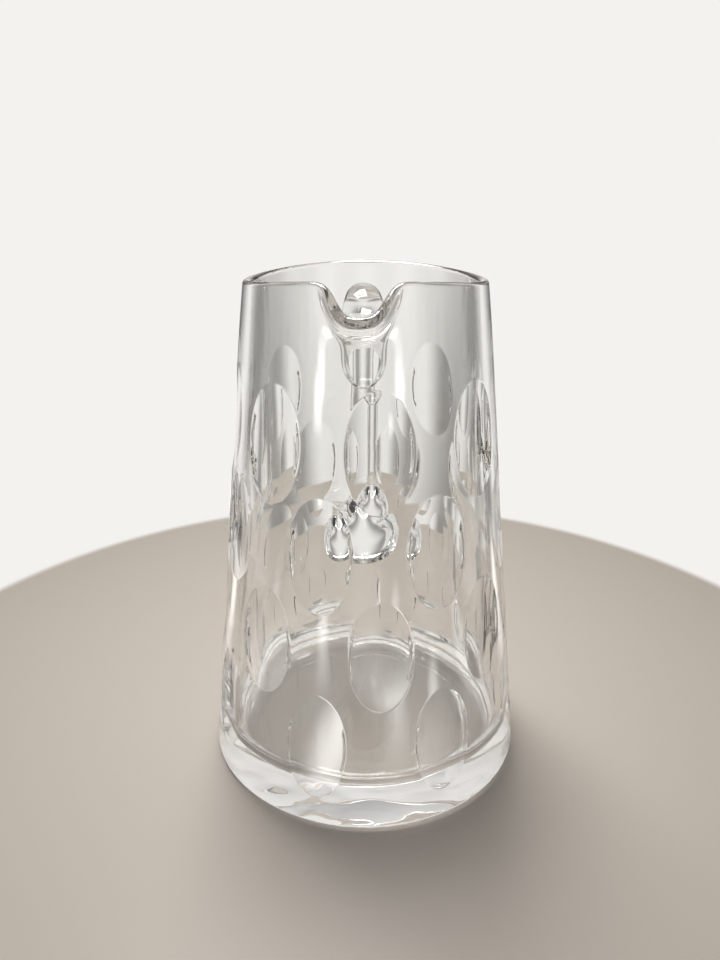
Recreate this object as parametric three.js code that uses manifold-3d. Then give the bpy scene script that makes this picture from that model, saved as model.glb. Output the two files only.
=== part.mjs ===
// A cut-glass pitcher in two pieces of glass: a blown, tapered body with a heavy base, a pulled pouring lip
// and rows of wheel-cut olives, and a drawn handle that is welded hot to the back of the wall.
// Millimetres, +Z up. The origin is the middle of the foot. The lip points to -Y and the handle to +Y.
import * as THREE from "three";
import { mergeVertices } from "three/addons/utils/BufferGeometryUtils.js";
import Module from "manifold-3d";

const { clamp, degToRad, lerp, mapLinear } = THREE.MathUtils;
const wasm = await Module();
wasm.setup();

// Body
const HEIGHT = 180; // foot to rim
const BASE_RADIUS = 60; // outside, at the foot
const RIM_RADIUS = 40.8; // outside, at the rim
const RIM_WALL = 3; // glass at the rim
const FOOT_WALL = 5.5; // glass just above the floor
const FLOOR = 9.5; // solid glass under the water
const HEEL_RADIUS = 1.5; // edge between the wall and the foot
const FLOOR_FILLET = 10; // corner between the inside wall and the floor
const RIM_SWAY = 2.8; // the sides of the rim lie this much lower than its front and back

// Pouring lip
const LIP_TURN = -1.9; // degrees from -Y: a lip pulled by eye is seldom quite opposite the handle
const LIP_DROP = 9.3; // how far the rim dips at the lip
const LIP_REACH = 8; // how far the lip stands out from the wall
const LIP_WIDTH = 15; // along the rim, halfway down the dip
const LIP_SHOULDER = 3; // power in the bell curve across the lip: more is a squarer channel
const LIP_WALL = 3.4; // glass at the lip's edge, where it gathers
const LIP_ROOT = 26; // how far below the rim the wall starts to bend
const LIP_FLARE = 4; // power of the bend outwards from root to rim: more keeps it nearer the rim
const LIP_FALL = 1.5; // the same for the bend downwards

// Olive cuts, in rows that are staggered by half a pitch
const OLIVE_LENGTH = 38.5;
const OLIVE_WIDTH = 22;
const OLIVE_HOLLOW = 0.35; // how far a cut dishes below a flat facet of its width
const OLIVES_PER_ROW = 8;
const OLIVE_TURN = 6; // degrees from the lip to the nearest cut of the second row
const OLIVE_ROWS = 4;
const FIRST_ROW = 30; // height of the lowest row's middle
const PLAIN_BAND = 30.5; // glass left uncut between the highest row and the rim
const TOOL_BULK = 10; // half the thickness of the lens-shaped cutting tool

// Handle
const HANDLE_TURN = 1.2; // degrees from +Y, about +Z
const WELD_GAP = 0.3; // clearance between the handle's seats and the wall
const PAD_HEIGHT = 64; // middle of the lower weld
const PAD_WIDTH = 34;
const PAD_LENGTH = 36; // up and down the wall
const PAD_BULGE = 13; // how far the lower weld swells out from the wall
const GRIP_WIDTH = 12;
const GRIP_THICKNESS = 11.4;
const GRIP_BOW = 2.5; // how far the ends of the grip lie inside its middle
const FINGER_GAP = 32.5; // from the wall to the inside of the grip, at the middle of the grip
const ARCH_DROP = 10.5; // from the rim down to the top of the arch
const TAIL_WIDTH = 20; // of the upper weld, where the end of the rod runs down the wall
const TAIL_LENGTH = 21.5; // of the upper weld, from its tip up to where the rod leaves the wall
const TAIL_BULGE = 7; // thickness of the upper weld
const TAIL_DROP = 52; // from the rim down to the tip of the upper weld
const TAIL_ROUND = 13; // length of the upper weld's round end

// Fineness of the facets
const ROUND_SEGMENTS = 96;
const ARC_STEPS = 4;
const LIP_STEPS = 6;
const SLOPE_STEP = 1e-3; // for the directions of the bent wall
const LIP_BUNCHING = 0.5; // 0 is even meridians, nearer 1 is closer at the lip
const HANDLE_SIDES = 16;
const HANDLE_STATIONS = 48;
const TIP_CUT = 0.3; // the round tip of the upper weld ends in a small flat this far from its end
const TOOL_TURNS = 36;
const TOOL_BANDS = 24;

const rimRound = RIM_WALL / 2;
const wallTop = HEIGHT - rimRound;
const wallLean = Math.atan2(BASE_RADIUS - RIM_RADIUS, wallTop);
const cornerHeight = FLOOR + FLOOR_FILLET;
const tailLift = TAIL_BULGE / 3; // the pressed end's middle line, off the wall

// Radius of the plain outside of the wall at a height.
function wallRadius(z) {
  return lerp(BASE_RADIUS, RIM_RADIUS, z / wallTop);
}

// Thickness of the plain wall at a height, measured level.
function wallGlass(z) {
  return mapLinear(z, cornerHeight, wallTop, FOOT_WALL, RIM_WALL);
}

// A closed geometry as a solid.
function solidOf(geometry) {
  const bare = geometry.clone();
  bare.deleteAttribute("normal");
  bare.deleteAttribute("uv");
  const merged = mergeVertices(bare, 1e-4);
  return new wasm.Manifold(
    new wasm.Mesh({
      numProp: 3,
      vertProperties: merged.attributes.position.array,
      triVerts: new Uint32Array(merged.index.array),
    }),
  );
}

// A solid as a geometry with flat facets.
function geometryOf(solid) {
  const mesh = solid.getMesh();
  const shared = new THREE.BufferGeometry();
  shared.setAttribute("position", new THREE.BufferAttribute(mesh.vertProperties, 3));
  shared.setIndex(new THREE.BufferAttribute(mesh.triVerts, 1));
  const flat = shared.toNonIndexed();
  flat.computeVertexNormals();
  return flat;
}

// A profile of radius and height turned about Z, with its first meridian at -Y.
function turned(profile) {
  return new THREE.LatheGeometry(profile, ROUND_SEGMENTS).rotateX(Math.PI / 2);
}

// Points along an arc, both ends included, the way round that the two angles set.
function arcPoints(x, y, radius, from, to) {
  return new THREE.EllipseCurve(x, y, radius, radius, from, to, to < from).getPoints(ARC_STEPS);
}

// The glass section: foot, heel, outside wall, round rim, inside wall, floor corner, floor.
function bodyProfile() {
  const rimCentre = new THREE.Vector2(RIM_RADIUS - rimRound, wallTop);
  const heelCentre = wallRadius(HEEL_RADIUS) - HEEL_RADIUS / Math.cos(wallLean);
  const innerFoot = wallRadius(cornerHeight) - FOOT_WALL;
  const innerLean = Math.atan2(innerFoot - RIM_RADIUS + RIM_WALL, wallTop - cornerHeight);
  const cornerCentre = innerFoot - FLOOR_FILLET / Math.cos(innerLean);
  const bends = Array.from({ length: LIP_STEPS }, (_, i) => wallTop - LIP_ROOT * (1 - i / LIP_STEPS) ** 2);
  const points = [new THREE.Vector2(0, 0)];
  points.push(...arcPoints(heelCentre, HEEL_RADIUS, HEEL_RADIUS, -Math.PI / 2, wallLean));
  points.push(...bends.map((z) => new THREE.Vector2(wallRadius(z), z)));
  points.push(...arcPoints(rimCentre.x, rimCentre.y, rimRound, 0, Math.PI));
  points.push(...bends.reverse().map((z) => new THREE.Vector2(wallRadius(z) - wallGlass(z), z)));
  points.push(...arcPoints(cornerCentre, cornerHeight, FLOOR_FILLET, innerLean, -Math.PI / 2));
  points.push(new THREE.Vector2(0, FLOOR));
  return points;
}

// How much of the lip's pull reaches a meridian: all of it in the lip's middle, a half at half its width.
function lipShare(turn) {
  const across = Math.abs(turn - degToRad(LIP_TURN)) * RIM_RADIUS;
  return 2 ** -((across / (LIP_WIDTH / 2)) ** LIP_SHOULDER);
}

// How much of it reaches a height: nothing below the root, all of it at the rim.
function lipRise(height) {
  return Math.max(0, 1 - (wallTop - height) / LIP_ROOT);
}

// A point in the middle of the wall's glass. Where bent is 1 the lip is pulled and the sides of the rim hang
// a little, and where it is 0 the wall is plain.
function wallMiddle(turn, height, bent) {
  const pull = bent * LIP_REACH * lipShare(turn) * lipRise(height) ** LIP_FLARE;
  const sink = bent * (LIP_DROP * lipShare(turn) + RIM_SWAY * Math.sin(turn) ** 2);
  const radius = wallRadius(height) - wallGlass(height) / 2 + pull;
  const level = height - sink * lipRise(height) ** LIP_FALL;
  return new THREE.Vector3(radius * Math.sin(turn), -radius * Math.cos(turn), level);
}

// The directions out of the wall, round it and up it.
function wallAxes(turn, height, bent) {
  const here = wallMiddle(turn, height, bent);
  const round = wallMiddle(turn + SLOPE_STEP, height, bent).sub(here).normalize();
  const rise = here.sub(wallMiddle(turn, height - SLOPE_STEP, bent));
  const out = round.clone().cross(rise).normalize();
  return new THREE.Matrix4().makeBasis(out, round, out.clone().cross(round));
}

// Bends the plain wall into the lip and the hanging sides. The glass keeps its thickness as it bends, and it
// swells towards the lip's edge. First the meridians are drawn together at the front, where the form is fine.
function shapeRim(geometry) {
  const place = geometry.attributes.position;
  for (let i = 0; i < place.count; i++) {
    const even = Math.atan2(place.getX(i), -place.getY(i));
    const turn = even - LIP_BUNCHING * Math.sin(even);
    const radius = Math.hypot(place.getX(i), place.getY(i));
    const height = Math.min(place.getZ(i), wallTop);
    const swell = lerp(1, LIP_WALL / RIM_WALL, lipShare(turn) * lipRise(height) ** LIP_FLARE);
    const tilt = wallAxes(turn, height, 1).multiply(wallAxes(turn, height, 0).transpose());
    const point = new THREE.Vector3(radius * Math.sin(turn), -radius * Math.cos(turn), place.getZ(i))
      .sub(wallMiddle(turn, height, 0))
      .multiplyScalar(swell)
      .applyMatrix4(tilt)
      .add(wallMiddle(turn, height, 1));
    place.setXYZ(i, point.x, point.y, point.z);
  }
  return geometry;
}

// The lens-shaped tool that leaves one olive of the set length and width at a height on the wall.
function oliveTool(turn, height) {
  const radius = wallRadius(height) / Math.cos(wallLean);
  const halfWidth = OLIVE_WIDTH / 2;
  const facet = radius - Math.sqrt(radius ** 2 - halfWidth ** 2);
  const depth = facet + OLIVE_HOLLOW;
  const span = (half, sink) => half / Math.sqrt(1 - (1 - sink / TOOL_BULK) ** 2);
  const normal = new THREE.Vector3(
    Math.cos(wallLean) * Math.sin(turn),
    -Math.cos(wallLean) * Math.cos(turn),
    Math.sin(wallLean),
  );
  const across = new THREE.Vector3(Math.cos(turn), Math.sin(turn), 0);
  const along = new THREE.Vector3().crossVectors(normal, across);
  const centre = new THREE.Vector3(Math.sin(turn), -Math.cos(turn), 0)
    .multiplyScalar(wallRadius(height))
    .setZ(height)
    .addScaledVector(normal, TOOL_BULK - depth);
  const matrix = new THREE.Matrix4().makeBasis(
    normal.multiplyScalar(TOOL_BULK),
    across.multiplyScalar(span(halfWidth, OLIVE_HOLLOW)),
    along.multiplyScalar(span(OLIVE_LENGTH / 2, depth)),
  );
  return new THREE.SphereGeometry(1, TOOL_TURNS, TOOL_BANDS).applyMatrix4(matrix.setPosition(centre));
}

// Every olive of every row, apart from those that the handle keeps the wheel from.
function oliveTools() {
  const tools = [];
  const lastRow = HEIGHT - PLAIN_BAND - OLIVE_LENGTH / 2;
  const pitch = (2 * Math.PI) / OLIVES_PER_ROW;
  for (let row = 0; row < OLIVE_ROWS; row++) {
    const height = lerp(FIRST_ROW, lastRow, row / (OLIVE_ROWS - 1));
    const first = degToRad(OLIVE_TURN) + (row % 2 === 0 ? pitch / 2 : 0);
    for (let i = 0; i < OLIVES_PER_ROW; i++) {
      const turn = first + i * pitch;
      const offHandle = Math.abs(wallRadius(height) * Math.sin(turn));
      if (Math.cos(turn) < 0 && offHandle < OLIVE_WIDTH / 2) continue;
      tools.push(oliveTool(turn, height));
    }
  }
  return tools;
}

function bodyGeometry() {
  const blank = solidOf(shapeRim(turned(bodyProfile())));
  const cuts = oliveTools().map(solidOf);
  return geometryOf(cuts.reduce((glass, cut) => glass.subtract(cut), blank));
}

// The handle's middle line, from inside the wall at the lower weld, up over the arch and down to the tip of
// the upper weld.
function handleLine() {
  const padWall = wallRadius(PAD_HEIGHT);
  const archTop = HEIGHT - ARCH_DROP - GRIP_THICKNESS / 2;
  const tipHeight = HEIGHT - TAIL_DROP;
  const tailHeight = tipHeight + TAIL_LENGTH / 2;
  const tailTop = tipHeight + TAIL_LENGTH;
  const gripMiddle = (PAD_HEIGHT + archTop) / 2;
  const grip = wallRadius(gripMiddle) + FINGER_GAP + GRIP_THICKNESS / 2;
  const shoulder = (archTop - PAD_HEIGHT) / 4;
  const armOut = (padWall + 2 * grip) / 3;
  const archOut = (wallRadius(archTop) + grip) / 2;
  const archIn = wallRadius(tailTop) + GRIP_THICKNESS / 2;
  const archSide = grip - GRIP_BOW;
  const archFoot = gripMiddle + shoulder;
  const half = Math.SQRT1_2; // the middle of each quarter of the arch, as on an ellipse
  return new THREE.CatmullRomCurve3([
    new THREE.Vector3(0, padWall - FOOT_WALL, PAD_HEIGHT - PAD_BULGE / 3),
    new THREE.Vector3(0, padWall + PAD_BULGE / 2, PAD_HEIGHT),
    new THREE.Vector3(0, armOut, PAD_HEIGHT + shoulder / 3),
    new THREE.Vector3(0, archSide, gripMiddle - shoulder),
    new THREE.Vector3(0, grip, gripMiddle),
    new THREE.Vector3(0, archSide, archFoot),
    new THREE.Vector3(0, lerp(archOut, archSide, half), lerp(archFoot, archTop, half)),
    new THREE.Vector3(0, archOut, archTop),
    new THREE.Vector3(0, lerp(archOut, archIn, half), lerp(tailTop, archTop, half)),
    new THREE.Vector3(0, archIn, tailTop),
    new THREE.Vector3(0, wallRadius(tailHeight) + tailLift, tailHeight),
    new THREE.Vector3(0, wallRadius(tipHeight) + WELD_GAP, tipHeight),
  ]);
}

// Half width and half thickness of the rod: it swells into the lower weld, is even along the grip, spreads
// where it is pressed on the wall and ends in a round tip.
function handleSection(fromPad, fromTip) {
  const pad = Math.exp(-((Math.max(0, fromPad) / PAD_BULGE) ** 2));
  const past = Math.max(0, fromTip - TAIL_LENGTH);
  const tail = Math.exp(-((past / TAIL_LENGTH) ** 2));
  const round = Math.sqrt(1 - (1 - Math.min(1, fromTip / TAIL_ROUND)) ** 2);
  const swell = (grip, lower, upper) => (grip + (lower - grip) * pad + (upper - grip) * tail) * round;
  return new THREE.Vector2(
    swell(GRIP_WIDTH, PAD_WIDTH, TAIL_WIDTH) / 2,
    swell(GRIP_THICKNESS, PAD_LENGTH, 2 * (TAIL_BULGE - tailLift)) / 2,
  );
}

// A round bar bent along the line, with the section set all the way along. Its rings lie closer at both ends.
function handleBar() {
  const line = handleLine();
  const length = line.getLength();
  const bar = new THREE.CylinderGeometry(1, 1, 1, HANDLE_SIDES, HANDLE_STATIONS);
  const place = bar.attributes.position;
  for (let i = 0; i < place.count; i++) {
    const even = clamp(place.getY(i) + 0.5, 0, 1);
    const share = even - Math.sin(2 * Math.PI * even) / (4 * Math.PI);
    const middle = line.getPointAt(share);
    const heading = line.getTangentAt(share);
    const section = handleSection(share * length - FOOT_WALL, Math.max(TIP_CUT, length * (1 - share)));
    const side = place.getX(i) * section.x;
    const lift = place.getZ(i) * section.y;
    place.setXYZ(i, side, middle.y - heading.z * lift, middle.z + heading.y * lift);
  }
  return bar;
}

// The bar trimmed to the wall, so that both welds seat on it, and turned to its place.
function handleGeometry() {
  const seat = turned([
    new THREE.Vector2(0, 0),
    new THREE.Vector2(BASE_RADIUS + WELD_GAP, 0),
    new THREE.Vector2(RIM_RADIUS + WELD_GAP, wallTop),
    new THREE.Vector2(0, wallTop),
  ]);
  const trimmed = geometryOf(solidOf(handleBar()).subtract(solidOf(seat)));
  return trimmed.rotateZ(degToRad(HANDLE_TURN));
}

const crystal = new THREE.MeshStandardMaterial({
  color: 0xe9eeee,
  roughness: 0.03,
  metalness: 0,
  transparent: true,
  opacity: 0.35,
});

const pitcher = new THREE.Group();
for (const [name, geometry] of [
  ["body", bodyGeometry()],
  ["handle", handleGeometry()],
]) {
  const piece = new THREE.Mesh(geometry, crystal.clone());
  piece.name = name;
  pitcher.add(piece);
}

export default pitcher;
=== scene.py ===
import math

import bmesh
import bpy
import numpy as np
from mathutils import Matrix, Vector
from mathutils.geometry import delaunay_2d_cdt


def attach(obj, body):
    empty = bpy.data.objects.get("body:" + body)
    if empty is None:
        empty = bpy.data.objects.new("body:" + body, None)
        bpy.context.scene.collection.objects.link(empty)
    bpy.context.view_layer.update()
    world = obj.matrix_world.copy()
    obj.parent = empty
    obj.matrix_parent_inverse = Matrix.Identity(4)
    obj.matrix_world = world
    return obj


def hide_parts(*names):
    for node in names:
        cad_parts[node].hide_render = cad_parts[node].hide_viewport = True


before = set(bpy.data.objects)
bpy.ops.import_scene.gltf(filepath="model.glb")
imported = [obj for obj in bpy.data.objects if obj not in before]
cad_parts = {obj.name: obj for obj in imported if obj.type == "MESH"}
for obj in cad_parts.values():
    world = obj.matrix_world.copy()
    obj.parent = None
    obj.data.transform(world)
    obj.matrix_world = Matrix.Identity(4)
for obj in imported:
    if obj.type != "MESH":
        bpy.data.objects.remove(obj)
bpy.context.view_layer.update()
scene = bpy.context.scene
mm = 0.001  # forms are written in millimetres and become metres when their mesh is made
weldGap = 0.002 * mm  # points closer than this become one
blownKind, cutKind, drawnKind, baseKind, weldKind = range(5)  # glass surfaces, in the order of glassKinds
mixShare, mixFirst, mixSecond, mixResult = 0, 6, 7, 2  # sockets of a Mix node that is set to colours
print("frame loaded with", ", ".join(sorted(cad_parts)))


def linear(hexColour):  # sRGB hex to the linear colour that sockets take
    channels = [int(hexColour[i : i + 2], 16) / 255 for i in (1, 3, 5)]
    return [c / 12.92 if c <= 0.04045 else ((c + 0.055) / 1.055) ** 2.4 for c in channels] + [1.0]


def addNode(tree, kind, settings=None, inputs=None):  # inputs take values or links
    node = tree.nodes.new(kind)
    for name, value in (settings or {}).items():
        setattr(node, name, value)
    for name, value in (inputs or {}).items():
        if isinstance(value, bpy.types.NodeSocket):
            tree.links.new(value, node.inputs[name])
        else:
            node.inputs[name].default_value = value
    return node


def newObject(name, data):
    piece = bpy.data.objects.new(name, data)
    scene.collection.objects.link(piece)
    return piece


def newMaterial(name):
    material = bpy.data.materials.new(name)
    material.use_nodes = True
    material.node_tree.nodes.clear()
    return material, material.node_tree


# camera, from a fit to the rim, wall and foot outlines in the 720 x 960 frame
cameraFit = {
    "place": (1.5, -257.8, 201.8),
    "lookDown": 20.55,  # degrees below level
    "turnLeft": 0.75,
    "focalPixels": 750.0,
    "frameHeight": 960.0,
    "sensor": 36.0,
    "nearest": 10.0,  # nearer things aren't drawn
}
cameraData = bpy.data.cameras.new("camera")
cameraData.sensor_width = cameraFit["sensor"]
cameraData.lens = cameraFit["focalPixels"] / cameraFit["frameHeight"] * cameraFit["sensor"]
cameraData.clip_start = cameraFit["nearest"] * mm
camera = newObject("camera", cameraData)
camera.location = Vector(cameraFit["place"]) * mm
camera.rotation_euler = (math.radians(90 - cameraFit["lookDown"]), 0, math.radians(cameraFit["turnLeft"]))
scene.camera = camera
print("camera set")

# blown body: a straight cone with a heavy base
bodyForm = {
    "height": 180.0,
    "baseRadius": 60.0,
    "rimRadius": 40.8,
    "rimWall": 3.0,
    "footWall": 5.5,
    "floor": 9.5,
    "heelRadius": 1.5,
    "floorFillet": 10.0,
    "rimSway": 2.8,  # sides of the rim hang below its front and back
    "footFlat": 0.15,  # faces of the flat foot lie lower than this
    "meridians": 360,
    "arcSteps": 12,
    "wallSteps": 36,
    "floorSteps": 6,
}
wallTop = bodyForm["height"] - bodyForm["rimWall"] / 2
wallLean = math.atan2(bodyForm["baseRadius"] - bodyForm["rimRadius"], wallTop)
cornerTop = bodyForm["floor"] + bodyForm["floorFillet"]  # where the inside corner runs into the wall

# pouring lip, pulled out of the soft rim near -Y
lipForm = {
    "turn": -1.9,  # degrees from -Y
    "drop": 9.3,
    "reach": 8.0,
    "width": 15.0,  # halfway down the dip
    "shoulder": 3.0,
    "wall": 3.4,  # glass at the edge of the lip
    "root": 26.0,  # below the rim
    "flare": 4.0,
    "fall": 1.5,
    "bunching": 0.6,  # draws the meridians together at the front
    "crowding": 1.7,  # and the rings at the rim
    "steps": 22,
}


def wallRadius(z):
    return bodyForm["baseRadius"] + (bodyForm["rimRadius"] - bodyForm["baseRadius"]) * z / wallTop


def wallGlass(z):  # thickness of the plain wall, measured level
    share = (z - cornerTop) / (wallTop - cornerTop)
    return bodyForm["footWall"] + (bodyForm["rimWall"] - bodyForm["footWall"]) * share


def aroundAxis(turn, radius, height):  # points of the body, turned from -Y
    return np.column_stack([radius * np.sin(turn), -radius * np.cos(turn), height])


def lipShare(turn):  # how much of the lip's pull reaches a meridian
    across = np.abs(turn - math.radians(lipForm["turn"])) * bodyForm["rimRadius"]
    return 2 ** -((across / (lipForm["width"] / 2)) ** lipForm["shoulder"])


def lipRise(height):  # and a height
    return np.maximum(0, 1 - (wallTop - height) / lipForm["root"])


def wallMiddle(turn, height, bent):  # the middle of the wall's glass, bent into the lip or plain
    share, rise = lipShare(turn), lipRise(height)
    out = lipForm["reach"] * share * rise ** lipForm["flare"]
    down = (lipForm["drop"] * share + bodyForm["rimSway"] * np.sin(turn) ** 2) * rise ** lipForm["fall"]
    radius = wallRadius(height) - wallGlass(height) / 2 + bent * out
    return aroundAxis(turn, radius, height - bent * down)


def wallAxes(turn, height, bent, step=1e-3):  # directions out of the wall, round it and up it
    here = wallMiddle(turn, height, bent)
    around = wallMiddle(turn + step, height, bent) - here
    out = np.cross(around, here - wallMiddle(turn, height - step, bent))
    around /= np.linalg.norm(around, axis=1)[:, None]
    out /= np.linalg.norm(out, axis=1)[:, None]
    return out, around, np.cross(out, around)


# bends the plain wall into the lip, where its glass swells a little, and lets the sides of the rim hang
def shapeRim(points):
    turn = np.arctan2(points[:, 0], -points[:, 1])
    height = np.minimum(points[:, 2], wallTop)
    pull = lipShare(turn) * lipRise(height) ** lipForm["flare"]
    swell = 1 + (lipForm["wall"] / bodyForm["rimWall"] - 1) * pull
    offset = (points - wallMiddle(turn, height, 0)) * swell[:, None]
    shaped = wallMiddle(turn, height, 1)
    for plain, bent in zip(wallAxes(turn, height, 0), wallAxes(turn, height, 1)):
        shaped = shaped + np.sum(offset * plain, axis=1)[:, None] * bent
    return shaped


def arcPoints(x, z, radius, start, end, steps):
    angles = np.linspace(start, end, steps + 1)
    return np.column_stack([x + radius * np.cos(angles), z + radius * np.sin(angles)])


def linePoints(start, end, steps, ease=1):  # without the end itself. Ease over 1 crowds them at the start
    share = (np.arange(steps)[:, None] / steps) ** ease
    return np.array(start) * (1 - share) + np.array(end) * share


evenTurns = np.linspace(-np.pi, np.pi, bodyForm["meridians"], endpoint=False)
meridians = evenTurns - lipForm["bunching"] * np.sin(evenTurns)


def ringFaces(count, rings, start=0):  # quads between rings of points
    nextPoint = [*range(1, count), 0]
    faces = []
    for low in range(start, start + (rings - 1) * count, count):
        high = low + count
        faces += [(low + i, low + j, high + j, high + i) for i, j in enumerate(nextPoint)]
    return faces


def turned(profile):  # a grid of the profile on every meridian, with a fan where it meets the axis
    onAxis = np.isclose(profile[:, 0], 0)
    rings = profile[~onAxis]
    count = len(meridians)
    turn = np.tile(meridians, len(rings))
    radius, height = np.repeat(rings, count, axis=0).T
    points = [aroundAxis(turn, radius, height)]
    faces = ringFaces(count, len(rings))
    for end, ring in ((0, 0), (-1, len(rings) - 1)):
        if onAxis[end]:
            tip = sum(len(p) for p in points)
            points.append(np.array([[0, 0, profile[end][1]]]))
            faces += [(ring * count + i, ring * count + (i + 1) % count, tip) for i in range(count)]
    return np.vstack(points), faces


def footProfile(bandLow):  # foot and heel, up to the band of olives
    heel = bodyForm["heelRadius"]
    centre = wallRadius(heel) - heel / math.cos(wallLean)
    foot = linePoints((0, 0), (centre, 0), bodyForm["floorSteps"])
    arc = arcPoints(centre, heel, heel, -math.pi / 2, wallLean, bodyForm["arcSteps"])
    return np.vstack([foot, arc, [[wallRadius(bandLow), bandLow]]])


def rimProfile(bandHigh):  # from the top of the olives over the rim and down the inside to the floor
    rimRound = bodyForm["rimWall"] / 2
    innerFoot = wallRadius(cornerTop) - bodyForm["footWall"]
    innerRim = bodyForm["rimRadius"] - bodyForm["rimWall"]
    rimStart, innerStart = (bodyForm["rimRadius"], wallTop), (innerRim, wallTop)
    bandEnd = (wallRadius(bandHigh), bandHigh)
    floorEnd = (0, bodyForm["floor"])
    innerLean = math.atan2(innerFoot - innerRim, wallTop - cornerTop)
    cornerCentre = innerFoot - bodyForm["floorFillet"] / math.cos(innerLean)
    rimBend = wallTop - lipForm["root"]
    innerBend = (wallRadius(rimBend) - wallGlass(rimBend), rimBend)
    corner = arcPoints(
        cornerCentre, cornerTop, bodyForm["floorFillet"], innerLean, -math.pi / 2, bodyForm["arcSteps"]
    )
    return np.vstack([
        [bandEnd],
        linePoints(rimStart, bandEnd, lipForm["steps"], lipForm["crowding"])[:0:-1],
        arcPoints(bodyForm["rimRadius"] - rimRound, wallTop, rimRound, 0, math.pi, 2 * bodyForm["arcSteps"]),
        linePoints(innerStart, innerBend, lipForm["steps"], lipForm["crowding"])[1:],
        linePoints(innerBend, corner[0], bodyForm["wallSteps"]),
        corner,
        linePoints((cornerCentre, bodyForm["floor"]), floorEnd, bodyForm["floorSteps"])[1:],
        [floorEnd],
    ])


# olives, ground in with a wheel and polished: eight to a row, rows staggered by half a pitch
oliveForm = {
    "length": 38.5,
    "width": 22.0,
    "hollow": 0.35,  # dish below a flat facet
    "perRow": 8,
    "rows": 4,
    "turn": 6.0,  # degrees from the lip
    "firstRow": 30.0,
    "plainBand": 30.5,
    "toolBulk": 10.0,
    "polish": 0.08,  # height over which the polished edge is rounded
    "search": (0.6, 1.4),  # where its outline is looked for, as a share of its size
    "searchSteps": 40,
    "spokes": 64,
    "innerRings": (0.2, 0.4, 0.58, 0.73, 0.85, 0.93),
    "edgeRings": (-0.9, -0.55, -0.3, -0.15, 0.0, 0.15, 0.3, 0.55, 0.9),  # from the outline, in mm
    "gridStep": 2.5,  # of the plain glass between the olives
    "gridClear": 1.1,  # the grid keeps this far from an olive, as a share of its size
    "margin": 2.0,  # plain glass meshed with the olives, below and above them
}


def olivePlaces():
    lastRow = bodyForm["height"] - oliveForm["plainBand"] - oliveForm["length"] / 2
    pitch = 2 * math.pi / oliveForm["perRow"]
    places = []
    for row in range(oliveForm["rows"]):
        height = oliveForm["firstRow"] + (lastRow - oliveForm["firstRow"]) * row / (oliveForm["rows"] - 1)
        first = math.radians(oliveForm["turn"]) + (pitch / 2 if row % 2 == 0 else 0)
        for i in range(oliveForm["perRow"]):
            turn = first + i * pitch
            offHandle = abs(wallRadius(height) * math.sin(turn))
            # the handle keeps the wheel off the rest
            if math.cos(turn) > 0 or offHandle >= oliveForm["width"] / 2:
                places.append((turn, height))
    return places


def olivePatch(turn, height):  # rings of points from an olive's middle to the plain glass round it
    lean, bulk = wallLean, oliveForm["toolBulk"]
    radius = wallRadius(height)
    halfWidth, halfLength = oliveForm["width"] / 2, oliveForm["length"] / 2
    slantRadius = radius / math.cos(lean)
    depth = slantRadius - math.sqrt(slantRadius**2 - halfWidth**2) + oliveForm["hollow"]
    spanAcross = halfWidth / math.sqrt(1 - (1 - oliveForm["hollow"] / bulk) ** 2)
    spanAlong = halfLength / math.sqrt(1 - (1 - depth / bulk) ** 2)
    normal = np.array([math.cos(lean) * math.sin(turn), -math.cos(lean) * math.cos(turn), math.sin(lean)])
    across = np.array([math.cos(turn), math.sin(turn), 0])
    along = np.cross(normal, across)
    middle = np.array([radius * math.sin(turn), -radius * math.cos(turn), height])

    def wallHeight(u, v):  # the cone below its tangent plane
        reach = 2 * (radius - v * math.sin(lean)) / math.cos(lean)
        bend = 1 - math.tan(lean) ** 2
        return -(reach - np.sqrt(reach**2 - 4 * bend * u**2)) / (2 * bend)

    def toolHeight(u, v):
        return bulk * (1 - np.sqrt(1 - (u / spanAcross) ** 2 - (v / spanAlong) ** 2)) - depth

    angles = np.linspace(0, 2 * np.pi, oliveForm["spokes"], endpoint=False)
    unitU, unitV = halfWidth * np.cos(angles), halfLength * np.sin(angles)
    low, high = (np.full(len(angles), share) for share in oliveForm["search"])
    for _ in range(oliveForm["searchSteps"]):  # finds the outline, where the tool leaves the wall
        guess = (low + high) / 2
        cut = toolHeight(unitU * guess, unitV * guess) < wallHeight(unitU * guess, unitV * guess)
        low, high = np.where(cut, guess, low), np.where(cut, high, guess)
    spread = np.hypot(unitU * low, unitV * low)
    scales = [low * share for share in oliveForm["innerRings"]]
    scales += [low * (1 + offset / spread) for offset in oliveForm["edgeRings"]]
    u = np.concatenate([[0]] + [unitU * s for s in scales])
    v = np.concatenate([[0]] + [unitV * s for s in scales])
    wall, tool, soft = wallHeight(u, v), toolHeight(u, v), oliveForm["polish"]
    level = np.minimum(wall, tool) - np.maximum(soft - np.abs(wall - tool), 0) ** 2 / (4 * soft)
    points = middle + u[:, None] * across + v[:, None] * along + level[:, None] * normal
    count = oliveForm["spokes"]
    faces = [(0, 1 + i, 1 + (i + 1) % count) for i in range(count)] + ringFaces(count, len(scales), start=1)
    cutRings = len(oliveForm["innerRings"]) + oliveForm["edgeRings"].index(0.0) + 1  # up to the outline
    kinds = [cutKind] * (cutRings * count) + [blownKind] * ((len(scales) - cutRings) * count)
    return points, faces, kinds


def inLoop(points, loop):  # which points lie inside a closed loop
    x, y = points[:, 0:1], points[:, 1:2]
    x0, y0 = loop[:, 0], loop[:, 1]
    x1, y1 = np.roll(x0, -1), np.roll(y0, -1)
    crosses = (y0 > y) != (y1 > y)
    with np.errstate(divide="ignore", invalid="ignore"):
        left = x < (x1 - x0) * (y - y0) / (y1 - y0) + x0
    return (np.sum(crosses & left, axis=1) % 2).astype(bool)


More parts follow.
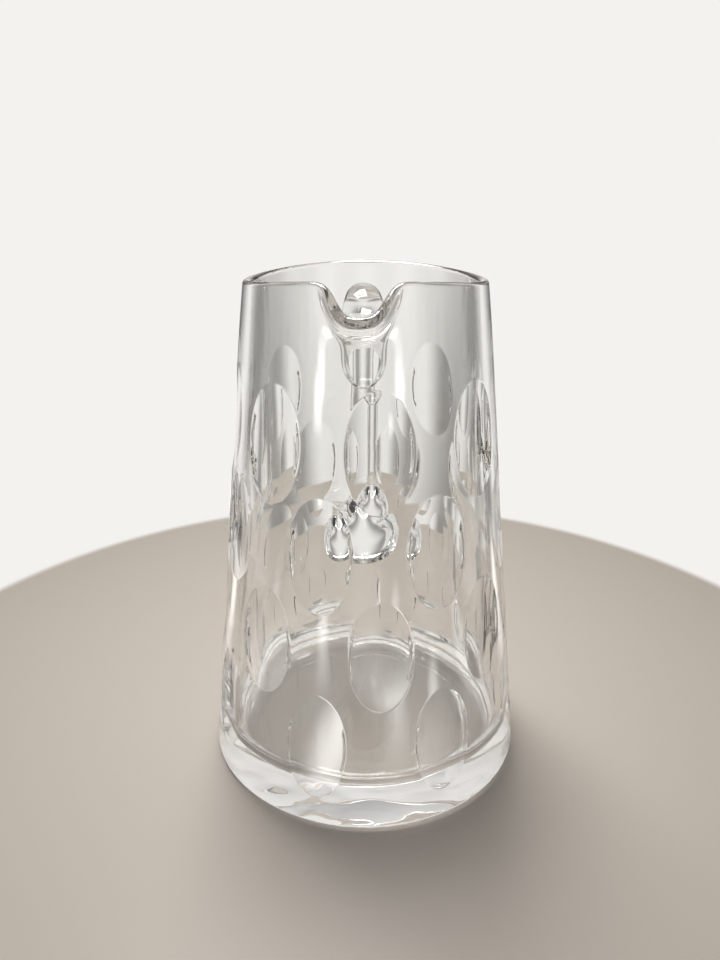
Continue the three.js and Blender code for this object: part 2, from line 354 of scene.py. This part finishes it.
def joined(parts):  # parts of points, faces and kinds, as one
    points, faces, kinds = [], [], []
    for partPoints, partFaces, partKinds in parts:
        start = sum(len(p) for p in points)
        points.append(partPoints)
        faces += [tuple(start + i for i in face) for face in partFaces]
        kinds += partKinds
    return np.vstack(points), faces, kinds


def oliveBand(bandLow, bandHigh, tiny=1e-7):  # the wall with its olives, laid flat, meshed and rolled up
    patches = [olivePatch(turn, height) for turn, height in olivePlaces()]
    flatScale = wallRadius((bandLow + bandHigh) / 2)
    seamWish = math.pi + math.radians(oliveForm["turn"])  # a meridian behind the handle that no olive crosses
    turns = np.sort(np.mod(meridians, 2 * np.pi))
    seam = turns[np.argmin(np.abs(turns - seamWish))] - 2 * np.pi
    edgeTurns = np.append(np.sort(np.mod(meridians - seam + tiny, 2 * np.pi) - tiny), 2 * np.pi) + seam
    levels = np.linspace(bandLow, bandHigh, int((bandHigh - bandLow) / oliveForm["gridStep"]) + 1)
    columns = np.linspace(seam, seam + 2 * np.pi, int(2 * np.pi * flatScale / oliveForm["gridStep"]))
    loops = []
    for points, _, _ in patches:
        outer = points[-oliveForm["spokes"] :]
        turn = np.mod(np.arctan2(outer[:, 0], -outer[:, 1]) - seam, 2 * np.pi) + seam
        loops.append(np.column_stack([turn * flatScale, outer[:, 2]]))
    border = [
        np.column_stack([edgeTurns, np.full(len(edgeTurns), bandLow)]),
        np.column_stack([np.full(len(levels) - 2, seam + 2 * np.pi), levels[1:-1]]),
        np.column_stack([edgeTurns[::-1], np.full(len(edgeTurns), bandHigh)]),
        np.column_stack([np.full(len(levels) - 2, seam), levels[-2:0:-1]]),
    ]
    outline = np.vstack(border) * [flatScale, 1]
    halfColumn = 0.5 * (columns[1] - columns[0])
    inner = np.array([
        ((turn + (halfColumn if k % 2 else 0)) * flatScale, z)
        for k, z in enumerate(levels[1:-1])
        for turn in columns[1:-2]
    ])
    clear = np.ones(len(inner), bool)
    for loop in loops:
        middle = loop.mean(axis=0)
        clear &= ~inLoop(inner, middle + (loop - middle) * oliveForm["gridClear"])
    flat = np.vstack([outline, *loops, inner[clear]])
    edges, start = [], 0
    for loop in (outline, *loops):
        edges += [(start + i, start + (i + 1) % len(loop)) for i in range(len(loop))]
        start += len(loop)
    fillAll = 0  # triangles inside the loops too, which are left out below
    made = delaunay_2d_cdt([Vector(p) for p in flat], edges, [], fillAll, tiny)
    places = np.array([tuple(p) for p in made[0]])
    triangles = np.array(made[2])
    centres = places[triangles].mean(axis=1)
    keep = np.ones(len(triangles), bool)
    for loop in loops:
        keep &= ~inLoop(centres, loop)
    plain = aroundAxis(places[:, 0] / flatScale, wallRadius(places[:, 1]), places[:, 1])
    plainFaces = [tuple(t) for t in triangles[keep]]
    return joined([(plain, plainFaces, [blownKind] * len(plainFaces)), *patches])


def meshFrom(name, parts):  # parts welded into one mesh
    points, faces, kinds = joined(parts)
    mesh = bpy.data.meshes.new(name)
    mesh.from_pydata((points * mm).tolist(), [], faces)
    for kind in glassKinds:
        mesh.materials.append(kind)
    mesh.polygons.foreach_set("material_index", kinds)
    mesh.polygons.foreach_set("use_smooth", [True] * len(faces))
    work = bmesh.new()
    work.from_mesh(mesh)
    bmesh.ops.remove_doubles(work, verts=work.verts, dist=weldGap)
    bmesh.ops.recalc_face_normals(work, faces=work.faces)
    work.to_mesh(mesh)
    work.free()
    return mesh


# handle: a gather stuck on low at the back, drawn up and over, and pressed down the wall below the rim
handleForm = {
    "turn": 1.2,  # degrees from +Y
    "padHeight": 64.0,
    "padWidth": 34.0,
    "padLength": 36.0,
    "padBulge": 13.0,
    "gripWidth": 12.0,
    "gripThickness": 11.4,
    "gripBow": 2.5,
    "fingerGap": 32.5,
    "archDrop": 10.5,
    "tailWidth": 20.0,
    "tailLength": 21.5,
    "tailBulge": 7.0,
    "tailDrop": 52.0,
    "tailRound": 13.0,  # length of the round end
    "tipCut": 0.05,
    "pressShare": 0.7,  # of the tail's width, left nearly flat by the tool that pressed it on
    "pressLength": 21.3,
    "pressRound": 70.0,  # radius of the pressed face, across
    "pressEdge": 1.5,  # degrees, half the width of its edge
    "pressRun": 1.0,  # length over which it begins
    "weldDepth": 1.2,  # how far the welds run into the wall
    "sides": 48,
    "stations": 150,
}


# a centripetal curve through the knots: points closer together at its ends, where they lead and how far along
def smoothLine(knots, count, samples=60):
    padded = np.vstack([2 * knots[0] - knots[1], knots, 2 * knots[-1] - knots[-2]])
    gaps = np.sqrt(np.linalg.norm(np.diff(padded, axis=0), axis=1))
    fine = []
    for i in range(1, len(padded) - 2):
        before, span, after = gaps[i - 1], gaps[i], gaps[i + 1]
        p0, p1, p2, p3 = padded[i - 1 : i + 3]
        leave = ((p1 - p0) / before - (p2 - p0) / (before + span) + (p2 - p1) / span) * span
        arrive = ((p2 - p1) / span - (p3 - p1) / (span + after) + (p3 - p2) / after) * span
        t = np.linspace(0, 1, samples, endpoint=False)[:, None]
        square, cube = 3 * (p2 - p1) - 2 * leave - arrive, 2 * (p1 - p2) + leave + arrive
        fine.append(p1 + leave * t + square * t**2 + cube * t**3)
    fine = np.vstack(fine + [knots[-1:]])
    run = np.concatenate([[0], np.cumsum(np.linalg.norm(np.diff(fine, axis=0), axis=1))])
    even = np.linspace(0, 1, count)
    along = (even - np.sin(2 * np.pi * even) / (4 * np.pi)) * run[-1]
    points = np.column_stack([np.interp(along, run, fine[:, k]) for k in range(2)])
    ahead = np.column_stack([np.interp(along, run, np.gradient(fine[:, k], run)) for k in range(2)])
    return points, ahead / np.linalg.norm(ahead, axis=1)[:, None], along, run[-1]


def handleBar():
    form = handleForm
    padWall = wallRadius(form["padHeight"])
    archTop = bodyForm["height"] - form["archDrop"] - form["gripThickness"] / 2
    tipHeight = bodyForm["height"] - form["tailDrop"]
    tailHeight, tailTop = tipHeight + form["tailLength"] / 2, tipHeight + form["tailLength"]
    gripMiddle = (form["padHeight"] + archTop) / 2
    grip = wallRadius(gripMiddle) + form["fingerGap"] + form["gripThickness"] / 2
    shoulder = (archTop - form["padHeight"]) / 4
    archOut = (wallRadius(archTop) + grip) / 2
    archIn = wallRadius(tailTop) + form["gripThickness"] / 2
    archSide, archFoot = grip - form["gripBow"], gripMiddle + shoulder
    half = math.sqrt(0.5)  # the middle of each quarter of the arch, as on an ellipse
    tailLift = form["tailBulge"] / 3
    knots = np.array([
        (padWall - bodyForm["footWall"], form["padHeight"] - form["padBulge"] / 3),
        (padWall + form["padBulge"] / 2, form["padHeight"]),
        ((padWall + 2 * grip) / 3, form["padHeight"] + shoulder / 3),
        (archSide, gripMiddle - shoulder),
        (grip, gripMiddle),
        (archSide, archFoot),
        (archOut + (archSide - archOut) * half, archFoot + (archTop - archFoot) * half),
        (archOut, archTop),
        (archOut + (archIn - archOut) * half, tailTop + (archTop - tailTop) * half),
        (archIn, tailTop),
        (wallRadius(tailHeight) + tailLift, tailHeight),
        (wallRadius(tipHeight), tipHeight),
    ])
    middle, ahead, along, length = smoothLine(knots, form["stations"])
    pad = np.exp(-((np.maximum(0, along - bodyForm["footWall"]) / form["padBulge"]) ** 2))
    fromTip = np.maximum(form["tipCut"], length - along)
    tail = np.exp(-((np.maximum(0, fromTip - form["tailLength"]) / form["tailLength"]) ** 2))
    tip = np.sqrt(1 - (1 - np.minimum(1, fromTip / form["tailRound"])) ** 2)

    def swell(rod, lower, upper):  # half the rod's size, swelling into both welds
        return (rod + (lower - rod) * pad + (upper - rod) * tail) * tip / 2

    side = swell(form["gripWidth"], form["padWidth"], form["tailWidth"])
    thick = swell(form["gripThickness"], form["padLength"], 2 * (form["tailBulge"] - tailLift))
    edge = math.asin(form["pressShare"])
    steps = math.radians(form["pressEdge"]) * np.array([-1, 0, 1])
    even = np.linspace(-np.pi, np.pi, form["sides"], endpoint=False)
    angles = np.sort(np.concatenate([even, edge + steps, -edge + steps]))
    count, stations = len(angles), form["stations"]
    x = side[:, None] * np.sin(angles)
    lift = thick[:, None] * np.cos(angles)
    begun = np.clip((form["pressLength"] - fromTip) / form["pressRun"], 0, 1)
    pressed = begun[:, None] * (np.abs(angles) < edge)
    crown = ((side * form["pressShare"])[:, None] ** 2 - x**2) / (2 * form["pressRound"])
    lift += pressed * (thick[:, None] * math.cos(edge) + crown - lift)
    y = middle[:, 0:1] - ahead[:, 1:2] * lift
    z = middle[:, 1:2] + ahead[:, 0:1] * lift
    turn = math.radians(form["turn"])
    x, y = x * math.cos(turn) - y * math.sin(turn), x * math.sin(turn) + y * math.cos(turn)
    points = np.column_stack([x.ravel(), y.ravel(), z.ravel()])
    faces = ringFaces(count, stations)
    faces += [tuple(range(count)), tuple(range((stations - 1) * count, stations * count))]
    return points, faces, [drawnKind] * len(faces)


def combined(base, other, operation):  # a boolean's result as a new mesh, with each side's own materials
    cut = base.modifiers.new("join", "BOOLEAN")
    cut.operation = operation
    cut.solver = "EXACT"
    cut.material_mode = "INDEX"
    cut.object = other
    bpy.context.view_layer.update()
    graph = bpy.context.evaluated_depsgraph_get()
    made = bpy.data.meshes.new_from_object(base.evaluated_get(graph))
    base.modifiers.remove(cut)
    return made


def seatCone():  # how deep the welds reach: a cone just inside the outer wall
    depth = handleForm["weldDepth"]
    foot, rim = bodyForm["baseRadius"] - depth, bodyForm["rimRadius"] - depth
    points, faces = turned(np.array([(0, 0), (foot, 0), (rim, wallTop), (0, wallTop)]))
    return points, faces, [drawnKind] * len(faces)


# crystal, whichever way its surface was made: clear and almost colourless, with a trace of bloom that softens
# a reflection here and there, and a pale shadow that is darker where the light grazes the glass
crystalStock = {
    "tint": "#FBFBFA",
    "ior": 1.54,
    "roughClear": 0.0,  # where there is no bloom
    "bloomDetail": 3.0,
    "bloomGrain": 0.55,
    "bloomStart": 0.45,
    "bloomEnd": 0.75,
    "waveDetail": 1.0,
    "shadowFacing": "#FDFDFD",
    "shadowEdge": "#7C7C7C",
    "shadowBlend": 0.25,
}
# fire-polished crystal: a bright, wet skin that hides nothing, with the slow waves of hand-blown glass
blownFinish = {
    "bloomSize": 22.0,  # mm
    "bloomRough": 0.02,
    "waveSize": 26.0,  # mm
    "waveDepth": 0.05,  # mm
    "stretch": (1.0, 1.0, 0.6),
}
# wheel-cut crystal, polished after the stone: clear as the skin, with faint lines the way the wheel ran
cutFinish = {
    "bloomSize": 9.0,
    "bloomRough": 0.03,
    "waveSize": 3.2,  # the wheel's lines, drawn wider apart than real ones so that they show
    "waveDepth": 0.003,
    "stretch": (1.0, 1.0, 0.08),
}
# drawn crystal: the rod was pulled while soft, so slow cords run along it and bend what is seen through it
drawnFinish = {
    "bloomSize": 14.0,
    "bloomRough": 0.02,
    "waveSize": 7.0,
    "waveDepth": 0.02,
    "stretch": (1.0, 1.0, 0.2),
}
# thick crystal of the base: the floor and the foot lie in slow swells, which break up what the base mirrors
baseFinish = {
    "bloomSize": 18.0,
    "bloomRough": 0.02,
    "waveSize": 17.0,
    "waveDepth": 0.3,
    "stretch": (1.0, 1.0, 1.0),
}


def crystal(name, finish):
    stock = crystalStock
    material, tree = newMaterial(name)
    place = addNode(tree, "ShaderNodeTexCoord").outputs["Object"]
    drawn = addNode(tree, "ShaderNodeVectorMath", {"operation": "MULTIPLY"}, {0: place, 1: finish["stretch"]})
    bloom = addNode(tree, "ShaderNodeTexNoise", {}, {
        "Vector": place, "Scale": 1 / (finish["bloomSize"] * mm),
        "Detail": stock["bloomDetail"], "Roughness": stock["bloomGrain"],
    })
    rough = addNode(tree, "ShaderNodeMapRange", {"interpolation_type": "SMOOTHSTEP"}, {
        "Value": bloom.outputs["Fac"], "From Min": stock["bloomStart"], "From Max": stock["bloomEnd"],
        "To Min": stock["roughClear"], "To Max": finish["bloomRough"],
    })
    waves = addNode(tree, "ShaderNodeTexNoise", {}, {
        "Vector": drawn.outputs["Vector"], "Scale": 1 / (finish["waveSize"] * mm),
        "Detail": stock["waveDetail"],
    })
    bump = addNode(tree, "ShaderNodeBump", {}, {
        "Height": waves.outputs["Fac"], "Strength": 1.0, "Distance": finish["waveDepth"] * mm,
    })
    glass = addNode(tree, "ShaderNodeBsdfPrincipled", {}, {
        "Base Color": linear(stock["tint"]), "Roughness": rough.outputs["Result"], "IOR": stock["ior"],
        "Transmission Weight": 1.0, "Normal": bump.outputs["Normal"],
    })
    edge = addNode(tree, "ShaderNodeLayerWeight", {}, {"Blend": stock["shadowBlend"]})
    tone = addNode(tree, "ShaderNodeMix", {"data_type": "RGBA"}, {
        mixShare: edge.outputs["Facing"],
        mixFirst: linear(stock["shadowFacing"]), mixSecond: linear(stock["shadowEdge"]),
    })
    shade = addNode(tree, "ShaderNodeBsdfTransparent", {}, {"Color": tone.outputs[mixResult]})
    ray = addNode(tree, "ShaderNodeLightPath")
    both = addNode(tree, "ShaderNodeMixShader", {}, {
        0: ray.outputs["Is Shadow Ray"], 1: glass.outputs["BSDF"], 2: shade.outputs["BSDF"],
    })
    addNode(tree, "ShaderNodeOutputMaterial", {}, {"Surface": both.outputs["Shader"]})
    return material


def meltedWeld():  # crystal that ran into crystal: both pieces end there, and no surface is left to see
    material, tree = newMaterial("meltedWeld")
    glass = addNode(tree, "ShaderNodeBsdfPrincipled", {}, {
        "Base Color": linear(crystalStock["tint"]), "Roughness": crystalStock["roughClear"],
        "IOR": crystalStock["ior"], "Transmission Weight": 1.0, "Alpha": 0.0,
    })
    addNode(tree, "ShaderNodeOutputMaterial", {}, {"Surface": glass.outputs["BSDF"]})
    return material


glassKinds = [
    crystal("firePolishedCrystal", blownFinish),
    crystal("wheelCutCrystal", cutFinish),
    crystal("drawnCrystal", drawnFinish),
    crystal("baseCrystal", baseFinish),
    meltedWeld(),
]
print("glass finishes made")


def baseKinds(points, faces, level):  # faces of the thick base lie no higher than this
    return [baseKind if max(points[i][2] for i in face) < level else blownKind for face in faces]


bandLow = oliveForm["firstRow"] - oliveForm["length"] / 2 - oliveForm["margin"]
bandHigh = bodyForm["height"] - oliveForm["plainBand"] + oliveForm["margin"]
footPoints, footFaces = turned(footProfile(bandLow))
rimPoints, rimFaces = turned(rimProfile(bandHigh))
bandPoints, bandFaces, bandKinds = oliveBand(bandLow, bandHigh)
bodyMesh = meshFrom("bodyBlank", [
    (footPoints, footFaces, baseKinds(footPoints, footFaces, bodyForm["footFlat"])),
    (shapeRim(bandPoints), bandFaces, bandKinds),
    (shapeRim(rimPoints), rimFaces, baseKinds(rimPoints, rimFaces, cornerTop)),
])
print("body", len(bodyMesh.vertices), "vertices", len(bodyMesh.polygons), "faces")

blank = newObject("blank", bodyMesh)
bar = newObject("bar", meshFrom("bar", [handleBar()]))
seat = newObject("seat", meshFrom("seat", [seatCone()]))
trimmed = newObject("trimmed", combined(bar, seat, "DIFFERENCE"))
joinedMesh = combined(blank, trimmed, "UNION")
handleMesh = combined(trimmed, blank, "DIFFERENCE")
for helper in (blank, bar, seat, trimmed):
    bpy.data.objects.remove(helper)


def ofKind(work, kind):
    return [face for face in work.faces if face.material_index == kind]


def glassPiece(name, node, work):  # a closed piece of glass, which stands for its node
    for edge in work.edges:  # a crease runs where the handle meets the wall
        edge.smooth = len({face.material_index == drawnKind for face in edge.link_faces}) == 1
    openEdges = sum(len(edge.link_faces) != 2 for edge in work.edges)
    mesh = bpy.data.meshes.new(name)
    work.to_mesh(mesh)
    work.free()
    for kind in glassKinds:
        mesh.materials.append(kind)
    piece = newObject(name, mesh)
    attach(piece, "root")
    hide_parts(node)
    print(name, len(mesh.polygons), "faces,", openEdges, "open edges")
    return mesh


work = bmesh.new()
work.from_mesh(handleMesh)
for face in work.faces:  # the handle ends on the wall
    if face.material_index != drawnKind:
        face.material_index = weldKind
handleGlass = glassPiece("handleGlass", "handle", work)

# the body is what the union has of it, closed by the handle's welds turned round
work = bmesh.new()
for mesh in (joinedMesh, handleGlass):
    work.from_mesh(mesh)
    bmesh.ops.delete(work, geom=ofKind(work, drawnKind), context="FACES")
bmesh.ops.reverse_faces(work, faces=ofKind(work, weldKind))
seams = [vert for vert in work.verts if vert.is_boundary]
bmesh.ops.remove_doubles(work, verts=seams, dist=weldGap)
glassPiece("bodyGlass", "body", work)

# stage: a pale round top on a paler ground. Round it stand pale panels with dim flags between them and a dim
# ceiling, which the glass sees and the camera doesn't: they draw its edges, and the ground stays plain
stageForm = {
    "floorRadius": 20000.0,  # mm
    "floorSides": 128,
    "airGap": 0.3,  # under the foot
    "paintedPoolTone": "#BDB4AA",  # of the top under the pitcher, lighter there: a painted pool of light
    "paintedPoolEdgeTone": "#A2998F",  # and at its edge, darker where the painted pool of light fades
    "poolFadeStart": 50.0,
    "poolFadeEnd": 224.0,
    "topGloss": 0.12,
    "topRough": 0.3,
    "farTone": "#F4F2EF",
    "fadeStart": 224.0,
    "fadeEnd": 232.0,
    "panels": 8,
    "panelTone": "#F4F2EF",
    "flagTone": "#8F8D8A",
    "ceilingTone": "#77777A",
    "panelHalf": 3.0,  # degrees
    "flagHalf": 3.0,
    "flagTopFrom": 12.0,
    "flagTopTo": 28.0,
    "ceilingFrom": 34.0,
    "ceilingTo": 78.0,
    "eyeHeight": 100.0,  # mm, where the panels are seen from
}


def studioTone(tree, aim):  # what the glass sees in a direction
    axes = addNode(tree, "ShaderNodeSeparateXYZ", {}, {0: aim})
    turn = addNode(tree, "ShaderNodeMath", {"operation": "ARCTAN2"}, {
        0: axes.outputs["X"], 1: axes.outputs["Y"],
    })
    halfPitch = math.pi / stageForm["panels"]
    slopes = ("flagTopFrom", "flagTopTo", "ceilingFrom", "ceilingTo")
    rise = {name: math.sin(math.radians(stageForm[name])) for name in slopes}
    off = addNode(tree, "ShaderNodeMath", {"operation": "PINGPONG"}, {0: turn.outputs["Value"], 1: halfPitch})
    flag = addNode(tree, "ShaderNodeMapRange", {"interpolation_type": "SMOOTHSTEP"}, {
        "Value": off.outputs["Value"],
        "From Min": math.radians(stageForm["panelHalf"]),
        "From Max": halfPitch - math.radians(stageForm["flagHalf"]),
    })
    below = addNode(tree, "ShaderNodeMapRange", {"interpolation_type": "SMOOTHSTEP"}, {
        "Value": axes.outputs["Z"], "To Min": 1.0, "To Max": 0.0,
        "From Min": rise["flagTopFrom"], "From Max": rise["flagTopTo"],
    })
    dim = addNode(tree, "ShaderNodeMath", {"operation": "MULTIPLY"}, {
        0: flag.outputs["Result"], 1: below.outputs["Result"],
    })
    ceiling = addNode(tree, "ShaderNodeMapRange", {"interpolation_type": "SMOOTHSTEP"}, {
        "Value": axes.outputs["Z"], "From Min": rise["ceilingFrom"], "From Max": rise["ceilingTo"],
    })
    around = addNode(tree, "ShaderNodeMix", {"data_type": "RGBA"}, {
        mixShare: dim.outputs["Value"],
        mixFirst: linear(stageForm["panelTone"]), mixSecond: linear(stageForm["flagTone"]),
    })
    dome = addNode(tree, "ShaderNodeMix", {"data_type": "RGBA"}, {
        mixShare: ceiling.outputs["Result"],
        mixFirst: around.outputs[mixResult], mixSecond: linear(stageForm["ceilingTone"]),
    })
    ray = addNode(tree, "ShaderNodeLightPath")
    return addNode(tree, "ShaderNodeMix", {"data_type": "RGBA"}, {
        mixShare: ray.outputs["Is Camera Ray"],
        mixFirst: dome.outputs[mixResult], mixSecond: linear(stageForm["farTone"]),
    }).outputs[mixResult]


# satin lacquer: a warm grey top with a dull sheen, and a pool of light painted on it, lighter under the
# pitcher and darker towards its edge. Past the edge, the camera and the glass see what stands round it
def satinLacquerAndPaintedPool():
    material, tree = newMaterial("satinLacquerAndPaintedPool")
    place = addNode(tree, "ShaderNodeTexCoord").outputs["Object"]
    reach = addNode(tree, "ShaderNodeVectorMath", {"operation": "LENGTH"}, {0: place})
    far = addNode(tree, "ShaderNodeMapRange", {"interpolation_type": "SMOOTHSTEP"}, {
        "Value": reach.outputs["Value"],
        "From Min": stageForm["fadeStart"] * mm, "From Max": stageForm["fadeEnd"] * mm,
    })
    # painted pool of light: the top's colour darkens from under the pitcher towards its edge
    paintedPoolFade = addNode(tree, "ShaderNodeMapRange", {}, {
        "Value": reach.outputs["Value"],
        "From Min": stageForm["poolFadeStart"] * mm, "From Max": stageForm["poolFadeEnd"] * mm,
    })
    tone = addNode(tree, "ShaderNodeMix", {"data_type": "RGBA"}, {
        mixShare: paintedPoolFade.outputs["Result"],
        mixFirst: linear(stageForm["paintedPoolTone"]), mixSecond: linear(stageForm["paintedPoolEdgeTone"]),
    })
    lacquer = addNode(tree, "ShaderNodeBsdfPrincipled", {}, {
        "Base Color": tone.outputs[mixResult], "Roughness": stageForm["topRough"],
        "Specular IOR Level": stageForm["topGloss"],
    })
    sight = addNode(tree, "ShaderNodeVectorMath", {"operation": "SUBTRACT"}, {
        0: place, 1: (0, 0, stageForm["eyeHeight"] * mm),
    })
    aim = addNode(tree, "ShaderNodeVectorMath", {"operation": "NORMALIZE"}, {0: sight.outputs["Vector"]})
    glow = addNode(tree, "ShaderNodeEmission", {}, {"Color": studioTone(tree, aim.outputs["Vector"])})
    ray = addNode(tree, "ShaderNodeLightPath")
    seen = addNode(tree, "ShaderNodeMath", {"operation": "MAXIMUM"}, {
        0: ray.outputs["Is Camera Ray"], 1: ray.outputs["Is Transmission Ray"],
    })
    shown = addNode(tree, "ShaderNodeMath", {"operation": "MAXIMUM"}, {
        0: seen.outputs["Value"], 1: ray.outputs["Is Glossy Ray"],
    })
    share = addNode(tree, "ShaderNodeMath", {"operation": "MULTIPLY"}, {
        0: far.outputs["Result"], 1: shown.outputs["Value"],
    })
    both = addNode(tree, "ShaderNodeMixShader", {}, {
        0: share.outputs["Value"], 1: lacquer.outputs["BSDF"], 2: glow.outputs["Emission"],
    })
    addNode(tree, "ShaderNodeOutputMaterial", {}, {"Surface": both.outputs["Shader"]})
    return material


floorMesh = bpy.data.meshes.new("floor")
work = bmesh.new()
bmesh.ops.create_circle(
    work, cap_ends=True, segments=stageForm["floorSides"], radius=stageForm["floorRadius"] * mm
)
work.to_mesh(floorMesh)
work.free()
floorMesh.materials.append(satinLacquerAndPaintedPool())
floor = newObject("floor", floorMesh)
floor.location.z = -stageForm["airGap"] * mm

world = bpy.data.worlds.new("studio")
scene.world = world
world.use_nodes = True
tree = world.node_tree
tree.nodes.clear()
sky = addNode(tree, "ShaderNodeBackground", {}, {
    "Color": studioTone(tree, addNode(tree, "ShaderNodeTexCoord").outputs["Generated"]),
})
addNode(tree, "ShaderNodeOutputWorld", {}, {"Surface": sky.outputs["Background"]})
world.cycles_visibility.diffuse = False  # so that the floor is as bright under the glass as round it

# lamps: one wide soft box overhead, and two behind the camera that stand in the upper glass as streaks
lamps = {
    "overhead": {
        "place": (-130, 400, 1200), "aim": (0, 0, 60), "size": (560, 560), "watts": 26.5, "fade": 0.1,
    },
    "leftBox": {
        "place": (-640, -800, 92), "aim": (0, -40, 92), "size": (190, 138), "watts": 0.68, "fade": 0.4,
    },
    "rightBox": {
        "place": (525, -930, 90), "aim": (0, -40, 90), "size": (210, 168), "watts": 0.7, "fade": 0.4,
    },
}
# strips of light lie flat round the foot and run out from a point on the wall. They stand in the lower glass
# as streaks, and each fills the olive that faces it
stripForm = {"height": 4.0, "aimHeight": 9000.0, "fade": 0.5}
strips = {
    "leftStrip": {"wall": (-13, -53), "middle": (-117, -224), "size": (44, 240), "watts": 0.24},
    "leftNear": {"wall": (-13, -57), "middle": (-45, -102), "size": (15, 80), "watts": 0.044},
    "frontStrip": {"wall": (5, -53), "middle": (49, -278), "size": (16, 240), "watts": 0.08},
    "rightStrip": {"wall": (10, -53), "middle": (77, -204), "size": (44, 300), "watts": 0.36},
    "sideStrip": {"wall": (24, -54), "middle": (97, -107), "size": (30, 150), "watts": 0.09},
}
# pairs of them on the other sides, by the way each side faces, in degrees from the lip
stripPairs = {
    "turns": (90, 180, 270),
    "wallTurn": 12.0,
    "outTurn": 28.0,
    "wallRadius": 55.0,
    "reach": 165.0,
    "size": (44, 300),
    "watts": 0.14,
}
for turn in stripPairs["turns"]:
    for name, side in (("Left", -1), ("Right", 1)):
        wallTurn, outTurn = (math.radians(turn + side * stripPairs[k]) for k in ("wallTurn", "outTurn"))
        wall = Vector((math.sin(wallTurn), -math.cos(wallTurn))) * stripPairs["wallRadius"]
        middle = wall + Vector((math.sin(outTurn), -math.cos(outTurn))) * stripPairs["reach"]
        size, watts = stripPairs["size"], stripPairs["watts"]
        strips[f"strip{turn}{name}"] = {"wall": wall, "middle": middle, "size": size, "watts": watts}
for name, strip in strips.items():
    lamps[name] = {
        "place": (*strip["middle"], stripForm["height"]),
        "aim": (*strip["wall"], stripForm["aimHeight"]),
        "size": strip["size"],
        "watts": strip["watts"],
        "fade": stripForm["fade"],
    }


def softBox(data, fade):  # the light fades towards the sides of its box, over this share of it
    data.use_nodes = True
    tree = data.node_tree
    tree.nodes.clear()
    spot = addNode(tree, "ShaderNodeNewGeometry").outputs["Parametric"]
    sides = addNode(tree, "ShaderNodeSeparateXYZ", {}, {0: spot})
    halfBox = 0.5  # each side runs from 0 to 1
    fades = []
    for side in ("X", "Y"):
        inset = addNode(tree, "ShaderNodeMath", {"operation": "PINGPONG"}, {
            0: sides.outputs[side], 1: halfBox,
        })
        fades.append(addNode(tree, "ShaderNodeMapRange", {"interpolation_type": "SMOOTHSTEP"}, {
            "Value": inset.outputs["Value"], "From Min": 0.0, "From Max": fade,
        }).outputs["Result"])
    both = addNode(tree, "ShaderNodeMath", {"operation": "MULTIPLY"}, {0: fades[0], 1: fades[1]})
    glow = addNode(tree, "ShaderNodeEmission", {}, {"Strength": both.outputs["Value"]})
    addNode(tree, "ShaderNodeOutputLight", {}, {"Surface": glow.outputs["Emission"]})


for name, lamp in lamps.items():
    data = bpy.data.lights.new(name, "AREA")
    data.shape = "RECTANGLE"
    data.size, data.size_y = lamp["size"][0] * mm, lamp["size"][1] * mm
    data.energy = lamp["watts"]
    softBox(data, lamp["fade"])
    light = newObject(name, data)
    light.location = Vector(lamp["place"]) * mm
    light.rotation_euler = (Vector(lamp["aim"]) - Vector(lamp["place"])).to_track_quat("-Z", "Y").to_euler()
    light.visible_camera = False
    light.visible_transmission = name not in strips  # those are only mirrored
print("stage and lamps set")

scene.view_settings.view_transform = "Standard"
scene.cycles.max_bounces = 24
scene.cycles.transmission_bounces = 24
scene.cycles.glossy_bounces = 16
scene.cycles.transparent_max_bounces = 24
scene.cycles.caustics_reflective = False
scene.cycles.caustics_refractive = False
scene.cycles.use_denoising = True
